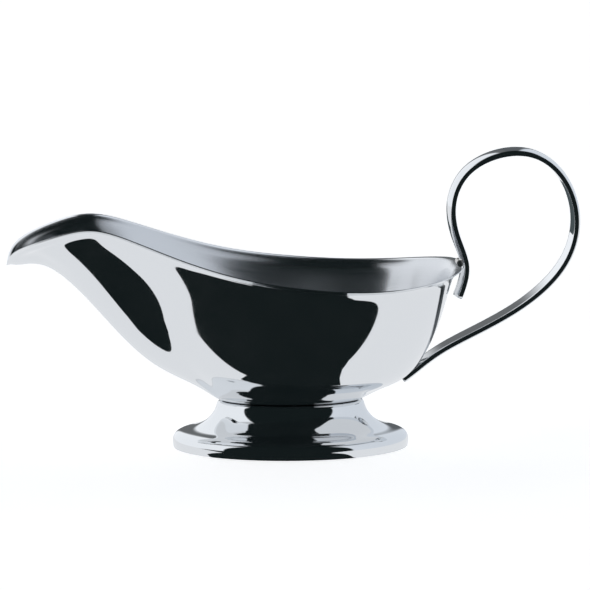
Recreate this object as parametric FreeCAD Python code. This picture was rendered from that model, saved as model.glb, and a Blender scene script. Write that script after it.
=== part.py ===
"""Gravy boat in stainless steel sheet: a bowl with a drooping pouring spout, an oval
pedestal foot and a looped strap handle, with the welds that join them.

Millimetres. +Z is up, the spout points to -X and the handle to +X, and the object is the
same on both sides of the plane Y = 0. The origin is at the middle of the length, on the
surface that the foot stands on.
"""
import FreeCAD, Part
import math
import os

from FreeCAD import Vector

# ---------------------------------------------------------------- driving dimensions
SHEET = 0.8                 # thickness of the pressed sheet in the bowl and the foot
FOOT_X = -1.5               # the foot's axis, from the middle of the whole length

FLOOR_Z = 18.0              # the flat inside of the bowl's bottom
FLOOR_LONG = 26.8           # half-length of the oval where the bottom turns up
FLOOR_WIDE = 15.4           # half-width of the same oval
FLOOR_SCALES = (0.84, 0.94)  # rings of the bottom that stay flat, as parts of that oval

# Half of the rim from the spout's tip round to the back: distance along the boat from the
# foot's axis, half-width, and height. They are control points of a smooth closed curve.
# The rim rises to a crest over the spout, dips along the belly and lifts at the handle.
RIM = (
    (-102.2, 0, 66), (-101.2, 10.5, 73.8), (-95.2, 17.8, 77.5), (-85, 21, 81.5),
    (-73, 21.5, 84.5), (-60, 25.5, 81), (-43.5, 32, 74.5), (-21.5, 38.5, 67.5),
    (2.5, 42.5, 64), (24.5, 43, 62.5), (42.5, 37.5, 63.5), (54, 28, 65.5),
    (60.5, 15, 67), (60.5, 0, 67.5),
)
# For each of those points, the angle on the bottom's oval that its wall rises from
RISES_FROM = (180, 175, 170, 165, 159, 152, 142, 128, 110, 90, 69, 48, 25, 0)
# Ahead of KEEL_FROM the wall has the spout's section, and behind BELLY_FROM the belly's.
# Between the two places, one changes smoothly into the other.
KEEL_FROM = -90.0
BELLY_FROM = 25.0

# The wall's section from the bottom to the rim, as parts of the way (outward, up)
BELLY_WALL = ((0, 0), (0.24, 0.10), (0.47, 0.163), (0.65, 0.325), (0.815, 0.585))
SPOUT_WALL = ((0, 0), (0.10, 0.113), (0.30, 0.235), (0.48, 0.487), (0.64, 0.78))
# The lip that the wall's top flares into, in mm outward and up from the rim's line.
# At the spout's tip it starts far in and lies flat, so that the gravy runs off it.
FLARED_LIP = ((-2.6, -3.9), (-1.5, -2.2), (-0.6, -0.95), (0.5, -0.2), (1.5, 0.2), (2.3, 0.4))
POURING_LIP = ((-14.0, 2.2), (-3.0, 0.6), (-1.4, 0.6), (0.0, 0.5), (1.2, 0.3), (2.0, -0.1))
POURING_SHARE = (1, 0.75, 0.35, 0.1)    # share of the pouring lip, from the tip on
LIP_SHEET = (0.62, 0.51, 0.45)  # the sheet thins toward the lip's edge

# The foot's outer face from its flat top down to the edge it stands on: half-length,
# half-width, height. It flares from a narrow waist to a shoulder above a low skirt.
FOOT_TOP_Z = FLOOR_Z - SHEET
FOOT = (
    (25.0, 14.2, FOOT_TOP_Z), (26.6, 15.6, FOOT_TOP_Z), (27.3, 16.2, 16.2),
    (28.0, 17.0, 13.2), (31.0, 19.8, 9.4), (36.2, 24.2, 6.9), (41.0, 28.6, 6.2),
    (43.3, 30.8, 4.6), (43.8, 31.3, 2.4), (43.5, 31.0, 0.8), (43.4, 30.9, 0.0),
)
FOOT_STATIONS = 20          # control points round each oval of the foot
HEM = 1.7                   # width of the folded edge that the foot stands on

# The handle's centre line in the plane Y = 0, from its upper end down to its lower end:
# control points of a smooth curve, distance from the foot's axis and height.
HANDLE_LINE = (
    (61.4, 55.0), (64.6, 63.0), (64.0, 69.5), (59.9, 78.0), (57.9, 89.5), (62.5, 101.5),
    (74.5, 108.5), (89.5, 109.5), (101.5, 100.0), (107.2, 83.5), (102.7, 66.0),
    (88.0, 52.0), (70.5, 42.5), (56.0, 35.6), (47.0, 28.6), (44.1, 26.1), (41.4, 24.2),
)
STRAP_WIDTH = 11.0
STRAP_EDGE = 1.7            # thickness of the strap at its two edges
STRAP_CROWN = 2.8           # thickness in the middle, with its crowned outer face

NUGGET_DIAMETER = 4.0       # a spot weld: metal fused inside two touching sheets
NUGGET_HEIGHT = 0.8
FOOT_WELDS_LONG = 14.0      # places of the foot's four welds along and across the boat
FOOT_WELDS_WIDE = 6.5
LOWER_WELDS_APART = 5.0     # the two spot welds under the handle's lower end
LOWER_WELDS_FROM_END = 3.2  # their distance from the strap's cut end
LOWER_FACE_DEPTH = 0.95     # from the strap's centre line in to the bowl's wall there
BEAD_RADIUS = 1.1           # the beads that hold the strap to the flared lip
BEAD_LENGTH = 6.5
BEAD_PLACE = (62.1, 67.7)  # where the strap touches the lip
LEAST_BEAD = 0.3            # mm3: smaller crumbs of the bead are left off


# ---------------------------------------------------------------- smooth nets of points
def clamped(count):
    """Knots and multiplicities of an open cubic curve with this many control points."""
    knots = [float(k) for k in range(count - 2)]
    return knots, [4] + [1] * (count - 4) + [4]


def smooth_surface(net):
    """A cubic surface over a net: net[station][ring], closed round the stations."""
    round_knots = [float(k) for k in range(len(net) + 1)]
    up_knots, up_mults = clamped(len(net[0]))
    surface = Part.BSplineSurface()
    surface.buildFromPolesMultsKnots(
        net, [1] * len(round_knots), up_mults, round_knots, up_knots, True, False, 3, 3)
    return surface


def mirrored(half):
    """The whole ring of stations from the half between the two points on Y = 0."""
    other = [[Vector(p.x, -p.y, p.z) for p in station] for station in half[-2:0:-1]]
    return half + other


def middle_of(k, count):
    """Where the control point k of an open cubic curve acts most, on its knots' scale."""
    last = count - 3
    knots = [0, 0, 0, 0] + list(range(1, last)) + [last] * 4
    return sum(knots[k + 1:k + 4]) / 3


def offset_net(net, distances):
    """The net moved along its own surface's normals, each ring by its own distance."""
    surface = smooth_surface(net)
    rings = len(net[0])
    moved = []
    for i, station in enumerate(net):
        u = float((i - 1) % len(net))
        moved.append([point + surface.normal(u, middle_of(k, rings)) * distances[k]
                      for k, point in enumerate(station)])
    return moved


def end_ring(net, last):
    """The closed edge of a net's surface at its first or its last ring."""
    surface = smooth_surface(net)
    return Part.Wire(surface.vIso(surface.bounds()[3 if last else 2]).toShape())


def closed_solid(faces):
    """One solid from faces whose edges meet."""
    shell = Part.makeShell(faces)
    shell.sewShape()
    solid = Part.makeSolid(shell)
    if solid.Volume < 0:
        solid.reverse()
    return solid


# ---------------------------------------------------------------- the bowl
def spout_share(x):
    """How much of the wall at this place has the spout's section, from 0 to 1."""
    way = min(1, max(0, (BELLY_FROM - x) / (BELLY_FROM - KEEL_FROM)))
    return way * way * (3 - 2 * way)


def bowl_net():
    """The inside of the bowl: a ring of stations, each from the bottom to the lip's edge."""
    ring = mirrored([[Vector(*point)] for point in RIM])
    half = []
    for i, angle in enumerate(RISES_FROM):
        spout = spout_share(RIM[i][0])
        crest = ring[i][0]
        along = ring[(i + 1) % len(ring)][0] - ring[i - 1][0]
        outward = Vector(-along.y, along.x, 0).normalize()
        foot_of_wall = Vector(FLOOR_LONG * math.cos(math.radians(angle)),
                              FLOOR_WIDE * math.sin(math.radians(angle)), FLOOR_Z)
        station = [Vector(foot_of_wall.x * scale, foot_of_wall.y * scale, FLOOR_Z)
                   for scale in FLOOR_SCALES]
        for belly, keel in zip(BELLY_WALL, SPOUT_WALL):
            out, up = (b + (k - b) * spout for b, k in zip(belly, keel))
            way = crest - foot_of_wall
            station.append(foot_of_wall + Vector(way.x * out, way.y * out, way.z * up))
        pouring = POURING_SHARE[i] if i < len(POURING_SHARE) else 0
        for flared, poured in zip(FLARED_LIP, POURING_LIP):
            out, up = (f + (p - f) * pouring for f, p in zip(flared, poured))
            station.append(crest + outward * out + Vector(0, 0, up))
        half.append(station)
    for station in (half[0], half[-1]):
        for point in station:
            point.y = 0
    return mirrored(half)


def make_bowl():
    inside = bowl_net()
    full = len(inside[0]) - len(LIP_SHEET)
    outside = offset_net(inside, [-SHEET] * full + [-sheet for sheet in LIP_SHEET])
    for station in outside:
        for ring in range(len(FLOOR_SCALES)):
            station[ring].z = FLOOR_Z - SHEET
    rim = Part.makeRuledSurface(end_ring(outside, True), end_ring(inside, True))
    faces = [smooth_surface(inside).toShape(), smooth_surface(outside).toShape(),
             Part.Face(end_ring(inside, False)), Part.Face(end_ring(outside, False))]
    return closed_solid(faces + rim.Faces)


# ---------------------------------------------------------------- the foot
def foot_net():
    """The foot's outer face: a ring of stations, each from the top down to the floor.

    A smooth curve runs a little inside its control points, so they stand out by as much.
    """
    step = 2 * math.pi / FOOT_STATIONS
    stand_out = 3 / (2 + math.cos(step))
    net = []
    for i in range(FOOT_STATIONS):
        cosine, sine = stand_out * math.cos(step * i), stand_out * math.sin(step * i)
        net.append([Vector(long * cosine, wide * sine, z) for long, wide, z in FOOT])
    return net


def make_foot():
    outside = foot_net()
    inside = offset_net(outside, [SHEET] * len(FOOT))
    for outer, inner in zip(outside, inside):
        for ring in range(2):
            inner[ring].z = FOOT_TOP_Z - SHEET
        edge = outer[-1]
        inner[-1] = edge - Vector(edge.x, edge.y, 0).normalize() * HEM
    under = Part.makeFace([end_ring(outside, True), end_ring(inside, True)],
                          "Part::FaceMakerBullseye")
    faces = [smooth_surface(inside).toShape(), smooth_surface(outside).toShape(),
             Part.Face(end_ring(inside, False)), Part.Face(end_ring(outside, False)), under]
    return closed_solid(faces)


# ---------------------------------------------------------------- the handle
def handle_line():
    knots, mults = clamped(len(HANDLE_LINE))
    line = Part.BSplineCurve()
    line.buildFromPolesMultsKnots([Vector(x, 0, z) for x, z in HANDLE_LINE], mults, knots,
                                  False, 3)
    return line


def outward_at(line, parameter):
    """The way that the strap's crowned face looks: to the outside of the loop."""
    along = line.tangent(parameter)[0]
    return Vector(-along.z, 0, along.x)


def strap_section(at, outward):
    """The strap's section: a flat inner face, two thin edges and a crowned outer face."""
    def corner(y, height):
        return at + Vector(0, y, 0) + outward * (height - STRAP_CROWN / 2)
    half = STRAP_WIDTH / 2
    inner = (corner(-half, 0), corner(half, 0))
    outer = (corner(-half, STRAP_EDGE), corner(half, STRAP_EDGE))
    crown = Part.Arc(outer[1], corner(0, STRAP_CROWN), outer[0]).toShape()
    return Part.Wire([Part.makeLine(*inner), Part.makeLine(inner[1], outer[1]), crown,
                      Part.makeLine(outer[0], inner[0])])


def make_strap(line):
    """The strap along its line, as bent, before it is fitted to the bowl."""
    start = line.FirstParameter
    sweep = Part.BRepOffsetAPI.MakePipeShell(Part.Wire(line.toShape()))
    sweep.setBiNormalMode(Vector(0, 1, 0))
    sweep.add(strap_section(line.value(start), outward_at(line, start)))
    sweep.build()
    sweep.makeSolid()
    return sweep.shape()


# ---------------------------------------------------------------- the welds
def nugget(middle, axis):
    low = middle - axis * (NUGGET_HEIGHT / 2)
    return Part.makeCylinder(NUGGET_DIAMETER / 2, NUGGET_HEIGHT, low, axis)


def make_foot_welds():
    places = [(x, y) for x in (-FOOT_WELDS_LONG, FOOT_WELDS_LONG)
              for y in (-FOOT_WELDS_WIDE, FOOT_WELDS_WIDE)]
    return Part.makeCompound([nugget(Vector(x, y, FOOT_TOP_Z), Vector(0, 0, 1))
                              for x, y in places])


def make_lower_welds(line):
    at = line.parameterAtDistance(line.length() - LOWER_WELDS_FROM_END)
    outward = outward_at(line, at)
    on_wall = line.value(at) - outward * LOWER_FACE_DEPTH
    return Part.makeCompound([nugget(on_wall + Vector(0, y, 0), outward)
                              for y in (-LOWER_WELDS_APART / 2, LOWER_WELDS_APART / 2)])


def make_rim_beads(bowl, strap):
    """What is left of a rod of filler along the touching line, above and below the lip."""
    x, z = BEAD_PLACE
    rod = Part.makeCylinder(BEAD_RADIUS, BEAD_LENGTH, Vector(x, -BEAD_LENGTH / 2, z),
                            Vector(0, 1, 0))
    left = rod.cut(bowl).cut(strap)
    return Part.makeCompound([s for s in left.Solids if s.Volume > LEAST_BEAD])


# ---------------------------------------------------------------- writing the pieces
def export(name, shape):
    shape = shape.copy()
    shape.translate(Vector(FOOT_X, 0, 0))
    shape.exportStep("parts/" + name + ".step")
    box = shape.BoundBox
    print(f"{name}: {len(shape.Solids)} solid(s), {shape.Volume / 1000:.2f} cm3, "
          f"x {box.XMin:.1f} to {box.XMax:.1f}, y {box.YMin:.1f} to {box.YMax:.1f}, "
          f"z {box.ZMin:.1f} to {box.ZMax:.1f}, valid {shape.isValid()}")


os.makedirs("parts", exist_ok=True)
line = handle_line()
whole_bowl = make_bowl()
whole_foot = make_foot()
fitted_strap = make_strap(line).cut(whole_bowl)
foot_welds = make_foot_welds()
lower_welds = make_lower_welds(line)

export("bowl", whole_bowl.cut(foot_welds).cut(lower_welds))
export("foot", whole_foot.cut(foot_welds))
export("handle", fitted_strap.cut(lower_welds))
export("foot_spot_welds", foot_welds)
export("handle_spot_welds", lower_welds)
export("handle_rim_beads", make_rim_beads(whole_bowl, fitted_strap))
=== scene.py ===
# %% [markdown]
# # A gravy boat in polished stainless steel
# The real object is three pieces of steel: a pressed bowl whose front is drawn out into a
# long drooping spout, a hollow pressed foot and a bent strap for a handle. Nothing on it
# moves. The construction is already there as a fixed frame of exact solids, so this lesson
# gives those solids the surface that a polishing shop gives the real sheet.

import math

import bpy
import numpy as np
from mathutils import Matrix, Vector


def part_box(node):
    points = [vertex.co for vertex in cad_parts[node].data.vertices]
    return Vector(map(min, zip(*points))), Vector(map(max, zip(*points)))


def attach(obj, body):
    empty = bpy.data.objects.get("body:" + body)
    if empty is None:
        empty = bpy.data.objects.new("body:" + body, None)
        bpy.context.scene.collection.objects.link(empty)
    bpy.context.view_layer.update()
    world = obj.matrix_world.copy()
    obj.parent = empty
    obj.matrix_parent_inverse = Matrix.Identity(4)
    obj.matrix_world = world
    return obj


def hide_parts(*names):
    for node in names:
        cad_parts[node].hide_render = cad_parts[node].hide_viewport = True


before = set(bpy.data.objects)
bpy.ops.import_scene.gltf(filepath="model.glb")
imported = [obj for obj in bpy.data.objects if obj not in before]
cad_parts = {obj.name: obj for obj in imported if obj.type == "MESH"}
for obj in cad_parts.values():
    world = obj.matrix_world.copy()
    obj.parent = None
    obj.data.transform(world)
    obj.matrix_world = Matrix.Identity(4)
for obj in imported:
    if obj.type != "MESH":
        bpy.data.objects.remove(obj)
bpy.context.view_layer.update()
MM = 0.001
print("pieces in the frame:", sorted(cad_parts))

# %% [markdown]
# ## Where the pieces are
# Every size below is in millimetres from the foot's own axis, because a maker measures a
# bowl from the tool that presses it. The frame says where that axis lies along the boat.

# %% Find the foot's axis
foot_low, foot_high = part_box("foot")
FOOT_X = (foot_low.x + foot_high.x) / 2 / MM
FOOT_TOP_Z = foot_high.z / MM
print(f"the foot's axis is at x = {FOOT_X:.2f} mm, and its top at z = {FOOT_TOP_Z:.2f} mm")


def to_metres(points):
    """Millimetres from the foot's axis to the frame's metres."""
    return (np.asarray(points) + (FOOT_X, 0, 0)) * MM


# %% [markdown]
# ## Smooth curves from few points
# Polished metal shows every flaw of its shape, because it draws the whole room. A curve
# made of short straight runs, or of arcs, bends the room in steps. A cubic curve through a
# few control points has no such steps, so the bowl, the foot and the handle all use it.

# %% Two kinds of cubic curve
def closed_curve(control, steps):
    """Points round a closed smooth curve, with this many steps for each control point."""
    t = np.arange(steps) / steps
    weights = np.stack([(1 - t) ** 3, 3 * t ** 3 - 6 * t ** 2 + 4,
                        -3 * t ** 3 + 3 * t ** 2 + 3 * t + 1, t ** 3], 1) / 6
    spans = np.stack([np.roll(control, -k, axis=0) for k in range(4)])
    points = np.einsum("tk,kn...->nt...", weights, spans)
    return points.reshape(-1, *control.shape[1:])


def open_weights(count, samples):
    """How much each control point of an open curve counts at evenly spaced samples."""
    last = count - 3
    knots = np.concatenate([[0.0] * 3, np.arange(last + 1), [last] * 3])
    place = np.linspace(0, last, samples)[:, None]
    place[-1] -= 1e-9
    weights = ((knots[:-1] <= place) & (place < knots[1:])).astype(float)
    for degree in range(1, 4):
        before, after = knots[:-degree - 1], knots[degree + 1:]
        rise = np.divide(place - before, knots[degree:-1] - before,
                         where=knots[degree:-1] > before,
                         out=np.zeros((samples, len(before))))
        fall = np.divide(after - place, after - knots[1:-degree],
                         where=after > knots[1:-degree],
                         out=np.zeros((samples, len(before))))
        weights = rise * weights[:, :-1] + fall * weights[:, 1:]
    return weights


def smooth_sheet(net, steps, samples):
    """Points of a sheet, closed round its stations and open from its first ring up."""
    round_points = closed_curve(net, steps)
    return np.einsum("vk,ukc->uvc", open_weights(net.shape[1], samples), round_points)


def mirrored(half):
    """A whole ring of stations from the half that lies between two points on Y = 0."""
    other = half[-2:0:-1] * (1, -1, 1)
    return np.concatenate([half, other])


# %% [markdown]
# ## From points to a mesh
# Each pressed piece is one closed skin: up one face of the sheet, round its cut edge, and
# back down the other face. Rings of points are joined by four-sided faces, and the flat
# ends are closed by a fan. The faces also get a flat map in metres, along the ring and
# across it, so that a brushed finish can run the way that the brush ran.

# %% Normals, edges and skins
def sheet_normals(sheet):
    """Unit normals of a smooth sheet, all to the same side."""
    along = np.roll(sheet, -1, axis=0) - np.roll(sheet, 1, axis=0)
    up = np.gradient(sheet, axis=1)
    normals = np.cross(along, up)
    return normals / np.linalg.norm(normals, axis=2, keepdims=True)


def rounded_edge(one_face, other_face, reach, steps=7):
    """Rings that round off the sheet's edge between the last rings of its two faces."""
    middle = (one_face[:, -1] + other_face[:, -1]) / 2
    side = (one_face[:, -1] - other_face[:, -1]) / 2
    ahead = one_face[:, -1] - one_face[:, -2]
    ahead *= reach / np.linalg.norm(ahead, axis=1, keepdims=True)
    turns = np.linspace(0, math.pi, steps)[1:-1]
    return [middle + side * math.cos(a) + ahead * math.sin(a) for a in turns]


def flat_disc(ring, rings=8):
    """Rings from near the middle of a flat end out to its edge, without the edge."""
    middle = ring.mean(axis=0)
    return [middle + (ring - middle) * part for part in np.linspace(0, 1, rings + 1)[1:-1]]


def skin(name, rings, middles):
    """A closed mesh from rings of points: a fan to each middle, and bands between rings."""
    rings = np.stack(rings)
    count, round_count = rings.shape[:2]
    points = np.concatenate([rings.reshape(-1, 3), middles])
    u = np.arange(round_count)
    nxt = (u + 1) % round_count
    start = np.arange(count - 1)[:, None] * round_count
    bands = np.stack([start + u, start + nxt, start + round_count + nxt,
                      start + round_count + u], 2).reshape(-1, 4)
    low, high, last = len(points) - 2, len(points) - 1, (count - 1) * round_count
    fans = [(low, b, a) for a, b in zip(u, nxt)] + [(high, last + a, last + b)
                                                    for a, b in zip(u, nxt)]
    mesh = bpy.data.meshes.new(name)
    mesh.from_pydata(to_metres(points).tolist(), [], bands.tolist() + fans)
    mesh.shade_smooth()
    piece = bpy.data.objects.new(name, mesh)
    bpy.context.scene.collection.objects.link(piece)
    add_flat_map(mesh, rings, round_count)
    return piece


def add_flat_map(mesh, rings, round_count):
    """A map in metres: u round each ring, v across the rings."""
    along = np.linalg.norm(np.roll(rings, -1, axis=1) - rings, axis=2).mean(axis=0)
    u_at = np.concatenate([[0], np.cumsum(along)]) * MM
    v_at = np.concatenate([[0], np.cumsum(
        np.linalg.norm(np.diff(rings, axis=0), axis=2).mean(axis=1))]) * MM
    layer = mesh.uv_layers.new(name="flat_map")
    values = np.zeros((len(mesh.loops), 2))
    band_count = (len(rings) - 1) * round_count
    ring_of, place = np.divmod(np.arange(band_count), round_count)
    corners = values[:band_count * 4].reshape(band_count, 4, 2)
    corners[:, (0, 3), 0] = u_at[place][:, None]
    corners[:, (1, 2), 0] = u_at[place + 1][:, None]
    corners[:, :2, 1] = v_at[ring_of][:, None]
    corners[:, 2:, 1] = v_at[ring_of + 1][:, None]
    layer.data.foreach_set("uv", values.ravel())


# %% [markdown]
# ## The bowl's shape
# A blank of sheet about 0.8 mm thick is drawn into a die and trimmed, and its rim is
# flared outward into a small lip that thins toward its edge. The rim rises to
# a crest over the spout, dips along the belly and lifts again at the handle. The wall has
# one section along the belly and another along the spout's keel, and each station round
# the rim mixes the two, which draws the belly out into the spout with no seam: all spout
# ahead of one place, all belly behind another, and a smooth change between them.

# %% The bowl's dimensions
SHEET = 0.8
LIP_EDGE = 0.45
BOWL_RINGS = 121
THINS_FROM = 0.8
FLOOR_Z = FOOT_TOP_Z + SHEET
FLOOR_LONG, FLOOR_WIDE = 26.8, 15.4
FLOOR_SCALES = (0.84, 0.94)
RIM = np.array([
    (-102.2, 0, 66), (-101.2, 10.5, 73.8), (-95.2, 17.8, 77.5), (-85, 21, 81.5),
    (-73, 21.5, 84.5), (-60, 25.5, 81), (-43.5, 32, 74.5), (-21.5, 38.5, 67.5),
    (2.5, 42.5, 64), (24.5, 43, 62.5), (42.5, 37.5, 63.5), (54, 28, 65.5),
    (60.5, 15, 67), (60.5, 0, 67.5),
])
RISES_FROM = np.radians((180, 175, 170, 165, 159, 152, 142, 128, 110, 90, 69, 48, 25, 0))
KEEL_FROM, BELLY_FROM = -90.0, 25.0
BELLY_WALL = np.array([(0, 0), (0.24, 0.10), (0.47, 0.163), (0.65, 0.325), (0.815, 0.585)])
SPOUT_WALL = np.array([(0, 0), (0.10, 0.113), (0.30, 0.235), (0.48, 0.487), (0.64, 0.78)])
FLARED_LIP = np.array([(-2.6, -3.9), (-1.5, -2.2), (-0.6, -0.95), (0.5, -0.2), (1.5, 0.2),
                       (2.3, 0.4)])
POURING_LIP = np.array([(-14.0, 2.2), (-3.0, 0.6), (-1.4, 0.6), (0.0, 0.5), (1.2, 0.3),
                        (2.0, -0.1)])
POURING_SHARE = (1, 0.75, 0.35, 0.1) + (0,) * 10


# %% The bowl's net and its skin
def bowl_net():
    whole_rim = mirrored(RIM)
    along = np.roll(whole_rim, -1, axis=0) - np.roll(whole_rim, 1, axis=0)
    outward = np.stack([-along[:, 1], along[:, 0], 0 * along[:, 0]], 1)[:len(RIM)]
    outward /= np.linalg.norm(outward, axis=1, keepdims=True)
    rise = np.stack([FLOOR_LONG * np.cos(RISES_FROM), FLOOR_WIDE * np.sin(RISES_FROM),
                     np.full(len(RIM), FLOOR_Z)], 1)
    way = np.clip((BELLY_FROM - RIM[:, 0]) / (BELLY_FROM - KEEL_FROM), 0, 1)
    shares = way * way * (3 - 2 * way)
    half = []
    for crest, out, start, spout, pouring in zip(RIM, outward, rise, shares, POURING_SHARE):
        wall = BELLY_WALL + (SPOUT_WALL - BELLY_WALL) * spout
        lip = FLARED_LIP + (POURING_LIP - FLARED_LIP) * pouring
        floor = [start * (scale, scale, 1) for scale in FLOOR_SCALES]
        side = [start + (crest - start) * (o, o, up) for o, up in wall]
        flared = [crest + out * o + (0, 0, up) for o, up in lip]
        half.append(floor + side + flared)
    half = np.array(half)
    half[[0, -1], :, 1] = 0
    return mirrored(half)


def make_bowl():
    inside = smooth_sheet(bowl_net(), steps=14, samples=BOWL_RINGS)
    last = BOWL_RINGS - 1
    thickness = np.interp(np.arange(BOWL_RINGS), (THINS_FROM * last, last), (SHEET, LIP_EDGE))
    thickness = thickness[None, :, None]
    outside = inside - sheet_normals(inside) * thickness
    outside[:, 0, 2] = FLOOR_Z - SHEET
    edge = rounded_edge(inside, outside, reach=0.5 * LIP_EDGE)
    rings = (flat_disc(inside[:, 0]) + list(inside.transpose(1, 0, 2)) + edge
             + list(outside.transpose(1, 0, 2)[::-1]) + flat_disc(outside[:, 0])[::-1])
    middles = [inside[:, 0].mean(axis=0), outside[:, 0].mean(axis=0)]
    return skin("polished_bowl", rings, middles), len(flat_disc(inside[:, 0])), inside


bowl, floor_rings, bowl_inside = make_bowl()
print("bowl faces:", len(bowl.data.polygons))

# %% [markdown]
# ## The foot's shape
# The foot is drawn from a smaller blank of the same sheet, as an oval cup turned upside
# down: a narrow waist, a flare, a rounded shoulder and a low skirt. Its edge is folded
# inward under the skirt, so that it doesn't scratch the table.

# %% Make the foot
FOOT = np.array([
    (25.0, 14.2, FOOT_TOP_Z), (26.6, 15.6, FOOT_TOP_Z), (27.3, 16.2, 16.2),
    (28.0, 17.0, 13.2), (31.0, 19.8, 9.4), (36.2, 24.2, 6.9), (41.0, 28.6, 6.2),
    (43.3, 30.8, 4.6), (43.8, 31.3, 2.4), (43.5, 31.0, 0.8), (43.4, 30.9, 0.0),
])
FOOT_STATIONS = 20
HEM = 1.7


def make_foot():
    turn = 2 * math.pi / FOOT_STATIONS
    stand_out = 3 / (2 + math.cos(turn))
    angles = turn * np.arange(FOOT_STATIONS)
    ovals = np.stack([np.cos(angles) * stand_out, np.sin(angles) * stand_out,
                      np.ones(FOOT_STATIONS)], 1)
    outside = smooth_sheet(ovals[:, None] * FOOT[None], steps=16, samples=97)
    inside = outside + sheet_normals(outside) * SHEET
    inside[:, 0, 2] = FOOT_TOP_Z - SHEET
    outward = outside[:, -1] * (1, 1, 0)
    outward /= np.linalg.norm(outward, axis=1, keepdims=True)
    inside[:, -1] = outside[:, -1] - outward * HEM
    rings = (flat_disc(outside[:, 0]) + list(outside.transpose(1, 0, 2))
             + list(inside.transpose(1, 0, 2)[::-1]) + flat_disc(inside[:, 0])[::-1])
    middles = [outside[:, 0].mean(axis=0), inside[:, 0].mean(axis=0)]
    return skin("polished_foot", rings, middles)


foot = make_foot()
print("foot faces:", len(foot.data.polygons))

# %% [markdown]
# ## The handle's shape
# The handle is a strap with a crowned outer face and a flat inner face, like a very flat
# letter D. It is bent cold round formers, so its line is smooth. It is cut square at both
# ends and the cuts are broken with a file, which the small bevel below stands for.

# %% Make the handle
HANDLE_LINE = np.array([
    (61.4, 55.0), (64.6, 63.0), (64.0, 69.5), (59.9, 78.0), (57.9, 89.5), (62.5, 101.5),
    (74.5, 108.5), (89.5, 109.5), (101.5, 100.0), (107.2, 83.5), (102.7, 66.0),
    (88.0, 52.0), (70.5, 42.5), (56.0, 35.6), (47.0, 28.6), (44.1, 26.1), (41.4, 24.2),
])
STRAP_WIDTH, STRAP_EDGE, STRAP_CROWN = 11.0, 1.7, 2.8
CORNER = 0.15


def strap_section():
    """The strap's outline: (across, outward) pairs round the letter D, corners rounded."""
    half = STRAP_WIDTH / 2
    rise = STRAP_CROWN - STRAP_EDGE
    radius = (half ** 2 + rise ** 2) / 2 / rise
    reach = math.asin(half / radius)
    crown = [(radius * math.sin(a), STRAP_CROWN - radius + radius * math.cos(a))
             for a in np.linspace(0.93 * reach, -0.93 * reach, 25)]
    quarter = np.linspace(0, math.pi / 2, 6)
    lower_left = [(-half + CORNER - CORNER * math.cos(a), CORNER - CORNER * math.sin(a))
                  for a in quarter]
    lower_right = [(half - CORNER + CORNER * math.sin(a), CORNER - CORNER * math.cos(a))
                   for a in quarter]
    top_left = [(-half + CORNER * (1 - math.cos(a)), STRAP_EDGE - CORNER + CORNER * math.sin(a))
                for a in (0, 0.35, 0.7, 1.0)]
    top_right = [(-x, y) for x, y in top_left[::-1]]
    flat = [(x, 0.0) for x in np.linspace(-half + CORNER, half - CORNER, 12)[1:-1]]
    outline = crown + top_left[::-1] + lower_left + flat + lower_right + top_right[::-1]
    return np.array(outline) - (0, STRAP_CROWN / 2)


def make_handle(samples=520, bevel=0.25):
    line = open_weights(len(HANDLE_LINE), samples) @ HANDLE_LINE
    ahead = np.gradient(line, axis=0)
    ahead /= np.linalg.norm(ahead, axis=1, keepdims=True)
    outward = np.stack([-ahead[:, 1], ahead[:, 0]], 1)
    section = strap_section()
    shrink = 1 - bevel / STRAP_CROWN
    rings = []
    for at, out in zip(line, outward):
        rings.append(np.stack([at[0] + out[0] * section[:, 1], section[:, 0],
                               at[1] + out[1] * section[:, 1]], 1))
    for end in (0, -1):
        middle = np.array([line[end][0], 0, line[end][1]])
        rings[end] = middle + (rings[end] - middle) * shrink
    middles = [np.array([line[0][0], 0, line[0][1]]), np.array([line[-1][0], 0, line[-1][1]])]
    caps = [[middle + (rings[end] - middle) * part for part in (0.4, 0.8)]
            for middle, end in zip(middles, (0, -1))]
    return skin("polished_handle", caps[0] + rings + caps[1][::-1], middles)


handle = make_handle()
print("handle faces:", len(handle.data.polygons))

# %% [markdown]
# ## Colour and node helpers
# Colours are written as the hex values a screen shows and turned to linear light once.
# One small function adds a node with its settings and its links.

# %% Colour and nodes
def linear(hex_code):
    """An sRGB hex colour as linear red, green, blue and alpha."""
    parts = [int(hex_code[k:k + 2], 16) / 255 for k in (1, 3, 5)]
    return [p / 12.92 if p <= 0.04045 else ((p + 0.055) / 1.055) ** 2.4 for p in parts] + [1.0]


def add(tree, kind, settings=(), inputs=()):
    """Adds a node. An input is a value for its socket, or another node's output to link."""
    node = tree.nodes.new(kind)
    for name, value in dict(settings).items():
        setattr(node, name, value)
    for name, value in dict(inputs).items():
        if isinstance(value, bpy.types.NodeSocket):
            tree.links.new(value, node.inputs[name])
        else:
            node.inputs[name].default_value = value
    return node


def new_material(name):
    """An empty node material, and its tree."""
    material = bpy.data.materials.new(name)
    material.use_nodes = True
    material.node_tree.nodes.clear()
    return material, material.node_tree


# %% [markdown]
# ## Mirror-polished steel
# The outside is ground, then buffed on a cloth wheel with finer and finer compound until
# it is a mirror. What is left for the eye is the faint haze of buffing lines a few
# hundredths of a millimetre wide, and a very slight waviness of the pressed sheet.

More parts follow.
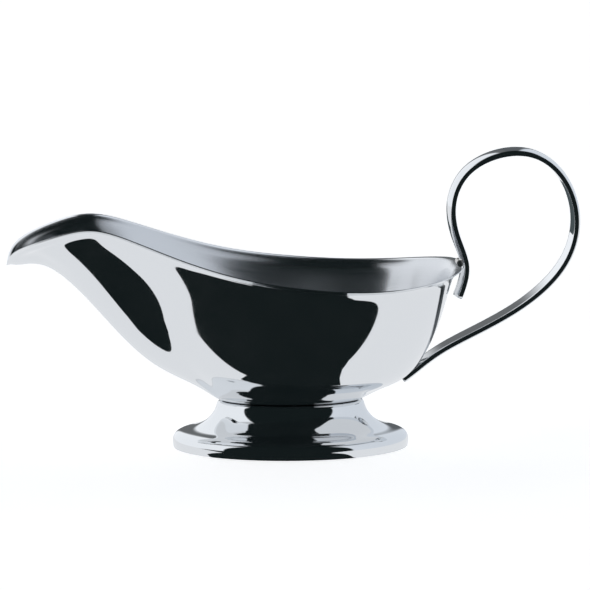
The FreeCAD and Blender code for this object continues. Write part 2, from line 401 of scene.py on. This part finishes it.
# %% The polished finish
def polished_steel():
    material, tree = new_material("stainless_steel_mirror_polished")
    place = add(tree, "ShaderNodeTexCoord")
    wave = add(tree, "ShaderNodeTexNoise", {}, {
        "Vector": place.outputs["Object"], "Scale": 1 / (24 * MM), "Detail": 1.0})
    haze = add(tree, "ShaderNodeTexNoise", {}, {
        "Vector": place.outputs["Object"], "Scale": 1 / (9 * MM), "Detail": 4.0})
    rough = add(tree, "ShaderNodeMapRange", {}, {
        "Value": haze.outputs["Fac"], "From Min": 0.3, "From Max": 0.7,
        "To Min": 0.035, "To Max": 0.07})
    bump = add(tree, "ShaderNodeBump", {}, {
        "Height": wave.outputs["Fac"], "Strength": 0.02, "Distance": 0.2 * MM})
    shader = add(tree, "ShaderNodeBsdfPrincipled", {}, {
        "Base Color": linear("#E4E6E8"), "Metallic": 1.0, "Roughness": rough.outputs[0],
        "Normal": bump.outputs[0]})
    add(tree, "ShaderNodeOutputMaterial", {}, {"Surface": shader.outputs[0]})
    return material


# %% [markdown]
# ## Satin inside
# The inside isn't buffed: it keeps the lengthwise lines of an abrasive belt, about 0.2 mm
# apart. Such lines smear a reflection across themselves but not along themselves, so light
# from above runs down the wall while edges stay crisp from left to right.

# %% The satin finish
def satin_steel():
    material, tree = new_material("stainless_steel_belt_brushed")
    flat_map = add(tree, "ShaderNodeUVMap", {"uv_map": "flat_map"})
    stretch = add(tree, "ShaderNodeMapping", {}, {
        "Vector": flat_map.outputs[0], "Scale": (1 / (40 * MM), 1 / (0.4 * MM), 1)})
    lines = add(tree, "ShaderNodeTexNoise", {}, {
        "Vector": stretch.outputs[0], "Scale": 1.0, "Detail": 3.0})
    rough = add(tree, "ShaderNodeMapRange", {}, {
        "Value": lines.outputs["Fac"], "From Min": 0.3, "From Max": 0.7,
        "To Min": 0.21, "To Max": 0.27})
    bump = add(tree, "ShaderNodeBump", {}, {
        "Height": lines.outputs["Fac"], "Strength": 0.08, "Distance": 0.05 * MM})
    tangent = add(tree, "ShaderNodeTangent", {"direction_type": "UV_MAP",
                                              "uv_map": "flat_map"})
    shader = add(tree, "ShaderNodeBsdfPrincipled", {}, {
        "Base Color": linear("#D9DBDE"), "Metallic": 1.0, "Roughness": rough.outputs[0],
        "Anisotropic": 0.95, "Anisotropic Rotation": 0.25,
        "Normal": bump.outputs[0], "Tangent": tangent.outputs[0]})
    add(tree, "ShaderNodeOutputMaterial", {}, {"Surface": shader.outputs[0]})
    return material


# %% [markdown]
# ## Weld metal
# The spot welds and the bead at the lip were left as welded and only brushed clean: a warm
# grey skin with fine ripples about half a millimetre apart.

# %% The weld metal
def weld_metal():
    material, tree = new_material("stainless_steel_weld_brushed")
    place = add(tree, "ShaderNodeTexCoord")
    ripples = add(tree, "ShaderNodeTexNoise", {}, {
        "Vector": place.outputs["Object"], "Scale": 1 / (0.5 * MM), "Detail": 3.0})
    bump = add(tree, "ShaderNodeBump", {}, {
        "Height": ripples.outputs["Fac"], "Strength": 0.3, "Distance": 0.1 * MM})
    rough = add(tree, "ShaderNodeMapRange", {}, {
        "Value": ripples.outputs["Fac"], "To Min": 0.22, "To Max": 0.42})
    shader = add(tree, "ShaderNodeBsdfPrincipled", {}, {
        "Base Color": linear("#D2CFCB"), "Metallic": 1.0, "Roughness": rough.outputs[0],
        "Normal": bump.outputs[0]})
    add(tree, "ShaderNodeOutputMaterial", {}, {"Surface": shader.outputs[0]})
    return material


mirror_finish = polished_steel()
satin_finish = satin_steel()
weld_finish = weld_metal()

# %% [markdown]
# ## Which face gets which finish
# The skin's faces are counted band by band from the middle of the inside floor, so the
# brushed inside is simply the first bands. The bowl's bottom, which the foot covers, was
# never buffed on the real pot, but here it is mirror too: the lip's edge and everything outside
# is mirror.

# %% Put the finishes on
BRUSHED_SHARE = 0.90    # of the inside's bands, from the floor's edge toward the lip's edge


def inside_rings():
    """The bands of the bowl's skin that are brushed: floor and wall, up to the lip."""
    return floor_rings + int(BRUSHED_SHARE * bowl_inside.shape[1])


for piece in (bowl, foot, handle):
    piece.data.materials.append(mirror_finish)
bowl.data.materials.append(satin_finish)
round_count = len(bowl_inside)
for face in bowl.data.polygons:
    band = face.index // round_count
    if band < inside_rings() or face.index >= len(bowl.data.polygons) - 2 * round_count:
        face.material_index = 1
for face in bowl.data.polygons[-round_count:]:
    face.material_index = 0

for node in ("foot_spot_welds", "handle_spot_welds", "handle_rim_beads"):
    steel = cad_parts[node]
    steel.data.materials.clear()
    steel.data.materials.append(weld_finish)

for piece, node in ((bowl, "bowl"), (foot, "foot"), (handle, "handle")):
    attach(piece, "root")
    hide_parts(node)

# %% [markdown]
# ## The studio
# A polished pot is lit by what stands round it. It stands in a light tent: pale cloth on
# both sides, and in front a dark panel with the camera in it, which gives the metal its
# black middle. A grey gap in the cloth straight behind draws thin dark outlines round the
# pot. The tent is painted on the world's sphere by direction.

# %% The light tent
def light_tent():
    world = bpy.data.worlds.new("light_tent")
    bpy.context.scene.world = world
    world.use_nodes = True
    tree = world.node_tree
    tree.nodes.clear()
    way = add(tree, "ShaderNodeTexCoord")
    split = add(tree, "ShaderNodeSeparateXYZ", {}, {0: way.outputs["Generated"]})
    front = add(tree, "ShaderNodeMath", {"operation": "MULTIPLY"},
                {0: split.outputs["Y"], 1: -1.0})
    azimuth = add(tree, "ShaderNodeMath", {"operation": "ARCTAN2"},
                  {0: split.outputs["X"], 1: front.outputs[0]})
    height = add(tree, "ShaderNodeMath", {"operation": "ARCSINE"}, {0: split.outputs["Z"]})
    turned = add(tree, "ShaderNodeMath", {"operation": "ADD"},
                 {0: azimuth.outputs[0], 1: math.radians(3)})
    away = add(tree, "ShaderNodeMath", {"operation": "ABSOLUTE"}, {0: turned.outputs[0]})
    side = add(tree, "ShaderNodeMapRange", {"interpolation_type": "SMOOTHSTEP"}, {
        "Value": away.outputs[0], "From Min": math.radians(49),
        "From Max": math.radians(51), "To Min": 0.0, "To Max": 1.0})
    top = add(tree, "ShaderNodeMath", {"operation": "MULTIPLY_ADD"},
              {0: away.outputs[0], 1: -0.09, 2: math.radians(65)})
    above = add(tree, "ShaderNodeMath", {"operation": "SUBTRACT"},
                {0: height.outputs[0], 1: top.outputs[0]})
    under_top = add(tree, "ShaderNodeMapRange", {"interpolation_type": "SMOOTHSTEP"}, {
        "Value": above.outputs[0], "From Min": math.radians(-8),
        "From Max": math.radians(5), "To Min": 1.0, "To Max": 0.0})
    behind = add(tree, "ShaderNodeMapRange", {"interpolation_type": "SMOOTHSTEP"}, {
        "Value": away.outputs[0], "From Min": math.radians(168),
        "From Max": math.radians(172), "To Min": 1.0, "To Max": 0.15})
    walls = add(tree, "ShaderNodeMath", {"operation": "MULTIPLY"},
                {0: side.outputs[0], 1: behind.outputs[0]})
    cloth = add(tree, "ShaderNodeMath", {"operation": "MULTIPLY"},
                {0: walls.outputs[0], 1: under_top.outputs[0]})
    to_right = add(tree, "ShaderNodeMapRange", {"interpolation_type": "SMOOTHSTEP"}, {
        "Value": azimuth.outputs[0], "From Min": math.radians(-40),
        "From Max": math.radians(75), "To Min": 0.0, "To Max": 1.0})
    pale = add(tree, "ShaderNodeMix", {"data_type": "RGBA"}, {
        0: to_right.outputs[0], 6: linear("#F8FBFF"), 7: linear("#DCE2EA")})
    colour = add(tree, "ShaderNodeMix", {"data_type": "RGBA"}, {
        0: cloth.outputs[0], 6: linear("#161D1E"), 7: pale.outputs[2]})
    light = add(tree, "ShaderNodeBackground", {}, {"Color": colour.outputs[2],
                                                   "Strength": 1.05})
    add(tree, "ShaderNodeOutputWorld", {}, {"Surface": light.outputs[0]})


light_tent()

# %% [markdown]
# ## The table that the metal sees
# The belly and the foot look down, so they mirror the table close to the pot. It is white,
# with a dark card lying in front of the pot and a grey one far behind it. These flat pieces
# are there for the metal only: the camera sees the floor below instead.

# %% The table and its cards
TABLE_HEIGHT, CARD_HEIGHT = -0.6, -0.3
TABLE = [(-1800, -1000), (1800, -1000), (1800, 1000), (-1800, 1000)]
CARD = [(-35, -22), (22, -22), (22, -40), (24, -50), (30, -59), (41, -69), (972, -1000),
        (-1430, -1000), (-150, -105), (-150, -32), (-119, -32), (-112, -36), (-98, -36),
        (-88, -31), (-35, -31)]
FAR_CARD = [(-90, 260), (90, 260), (180, 999), (-180, 999)]


def stage_material(name, paper, tint, glow):
    material, tree = new_material(name)
    cloth = add(tree, "ShaderNodeBsdfDiffuse", {}, {"Color": linear(paper)})
    lit = add(tree, "ShaderNodeEmission", {}, {"Color": linear(tint), "Strength": glow})
    both = add(tree, "ShaderNodeAddShader", {}, {0: cloth.outputs[0], 1: lit.outputs[0]})
    add(tree, "ShaderNodeOutputMaterial", {}, {"Surface": both.outputs[0]})
    return material


def flat_piece(name, outline, height, tint, glow):
    mesh = bpy.data.meshes.new(name)
    mesh.from_pydata([((x + FOOT_X) * MM, y * MM, height * MM) for x, y in outline], [],
                     [list(range(len(outline)))])
    mesh.materials.append(stage_material(name, "#000000", tint, glow))
    piece = bpy.data.objects.new(name, mesh)
    bpy.context.scene.collection.objects.link(piece)
    piece.visible_camera = False
    piece.visible_diffuse = False
    piece.visible_shadow = False
    return piece


flat_piece("white_table", TABLE, TABLE_HEIGHT, "#FAFCFF", 0.92)
flat_piece("black_card", CARD, CARD_HEIGHT, "#161D1E", 1.0)
flat_piece("grey_card", FAR_CARD, CARD_HEIGHT, "#4A5356", 1.0)

# %% [markdown]
# ## The floor and the backdrop
# The pot stands on white paper that runs back into a white backdrop with no line between.
# The paper glows a little, so that it stays white and still takes a faint soft shadow.

# %% The floor and the backdrop
def only_seen(piece):
    """The piece is seen by the camera, but the metal doesn't mirror it."""
    piece.visible_glossy = False
    piece.visible_diffuse = False
    piece.visible_shadow = False
    piece.visible_transmission = False


STAGE_RADIUS = 4
bpy.ops.mesh.primitive_circle_add(vertices=96, radius=STAGE_RADIUS, fill_type="NGON")
floor = bpy.context.object
floor.name = "floor"
floor.data.materials.append(stage_material("white_paper", "#F2F2F2", "#FFFFFF", 0.68))
only_seen(floor)
bpy.ops.mesh.primitive_uv_sphere_add(segments=64, ring_count=32, radius=STAGE_RADIUS)
backdrop = bpy.context.object
backdrop.name = "backdrop"
backdrop.data.materials.append(stage_material("white_backdrop", "#000000", "#FFFFFF", 1.05))
only_seen(backdrop)

# %% [markdown]
# ## The camera
# A long lens from a little over a metre away keeps the pot's sides nearly parallel. It
# stands slightly toward the spout and looks slightly down, over the near rim.

# %% The camera
CAMERA_DISTANCE = 1300 * MM
CAMERA_SIDE, CAMERA_RISE = math.radians(4), math.radians(8.5)
LOOKS_AT = Vector(((1.6 + FOOT_X) * MM, 0, 56 * MM))
LENS = 215.8


def make_camera():
    back = Vector((-math.sin(CAMERA_SIDE) * math.cos(CAMERA_RISE),
                   -math.cos(CAMERA_SIDE) * math.cos(CAMERA_RISE), math.sin(CAMERA_RISE)))
    data = bpy.data.cameras.new("camera")
    data.lens, data.sensor_width = LENS, 36
    camera = bpy.data.objects.new("camera", data)
    bpy.context.scene.collection.objects.link(camera)
    camera.location = LOOKS_AT + back * CAMERA_DISTANCE
    camera.rotation_euler = (-back).to_track_quat("-Z", "Y").to_euler()
    data.clip_start, data.clip_end = 0.05, 20
    bpy.context.scene.camera = camera


make_camera()
bpy.context.scene.view_settings.view_transform = "Standard"
bpy.context.scene.view_settings.look = "None"
